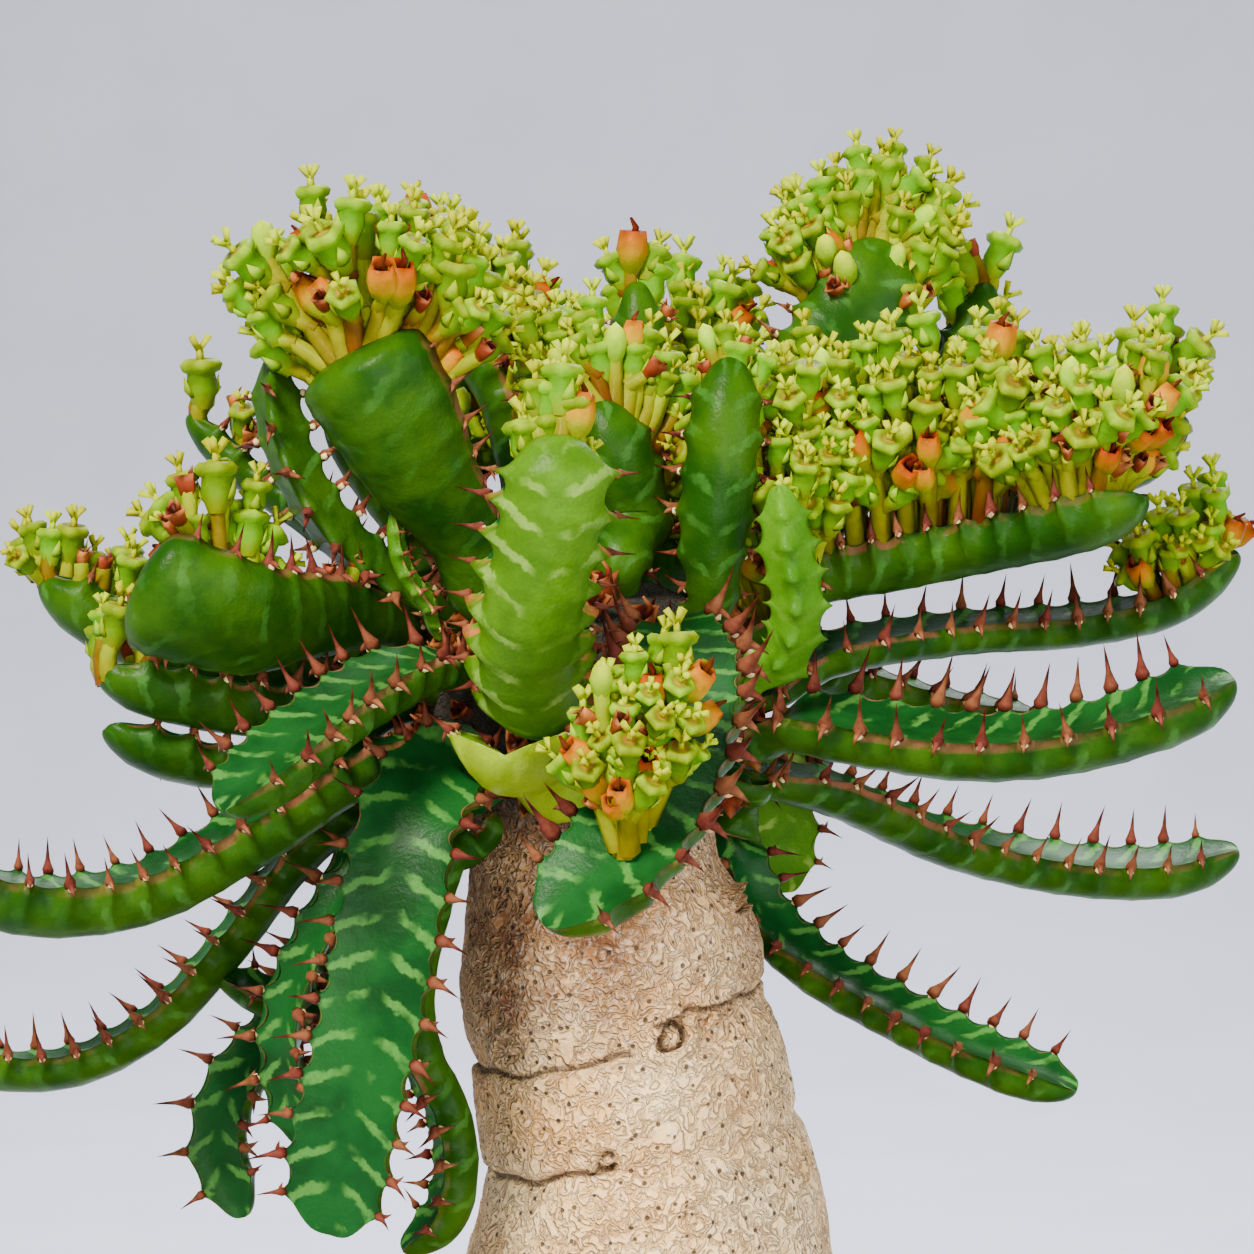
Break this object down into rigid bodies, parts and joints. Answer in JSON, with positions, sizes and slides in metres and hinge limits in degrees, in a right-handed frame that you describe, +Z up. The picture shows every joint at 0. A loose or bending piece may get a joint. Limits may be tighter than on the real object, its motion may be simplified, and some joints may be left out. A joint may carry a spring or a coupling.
{
  "type": "potted succulent plant",
  "caption": "Caudex-forming Euphorbia stellata in a plain clay pot: a wrinkled woody stem with a crown of toothed, spiny, arching green arms topped by dense lime flower heads.",
  "frame": {"origin": "centre of the pot's foot, on the surface that the pot stands on", "axes": "+Z up along the pot's axis, +X to the right and -Y towards the viewer as the picture shows the plant"},
  "size_m": [0.153, 0.1154, 0.2446],
  "materials": {
    "clay": "unglazed, slightly rough",
    "soil": "gritty, dry",
    "bark": "wrinkled, matte",
    "arm": "waxy skin, slight sheen",
    "young_arm": "waxy skin, slight sheen"
  },
  "bodies": {
    "root": {"pot": "clay", "soil": "soil", "caudex": "bark", "arm_front_1": "arm", "arm_front_2": "young_arm", "arm_front_3": "arm", "arm_right_1": "arm", "arm_right_2": "arm", "arm_right_3": "arm", "arm_right_4": "arm", "arm_right_5": "arm", "arm_right_6": "arm", "arm_right_7": "young_arm", "arm_left_1": "arm", "arm_left_2": "arm", "arm_left_3": "arm", "arm_left_4": "arm", "arm_left_5": "arm", "arm_left_6": "arm", "arm_left_7": "arm", "arm_left_8": "arm", "arm_left_9": "arm", "arm_left_10": "arm", "arm_left_11": "arm", "arm_left_12": "arm", "arm_top_1": "arm", "arm_top_2": "arm", "arm_top_3": "arm", "arm_top_4": "arm", "arm_top_5": "young_arm", "arm_top_6": "arm", "arm_top_7": "arm", "arm_top_8": "arm", "arm_top_9": "young_arm", "arm_top_10": "arm", "arm_top_11": "arm", "arm_top_12": "arm", "arm_top_13": "arm", "arm_back_1": "arm", "arm_back_2": "arm", "arm_back_3": "arm", "arm_back_4": "arm", "arm_back_5": "arm", "arm_back_6": "arm", "arm_back_7": "arm", "arm_back_8": "arm", "arm_back_9": "arm", "arm_back_10": "arm"}
  },
  "joints": []
}
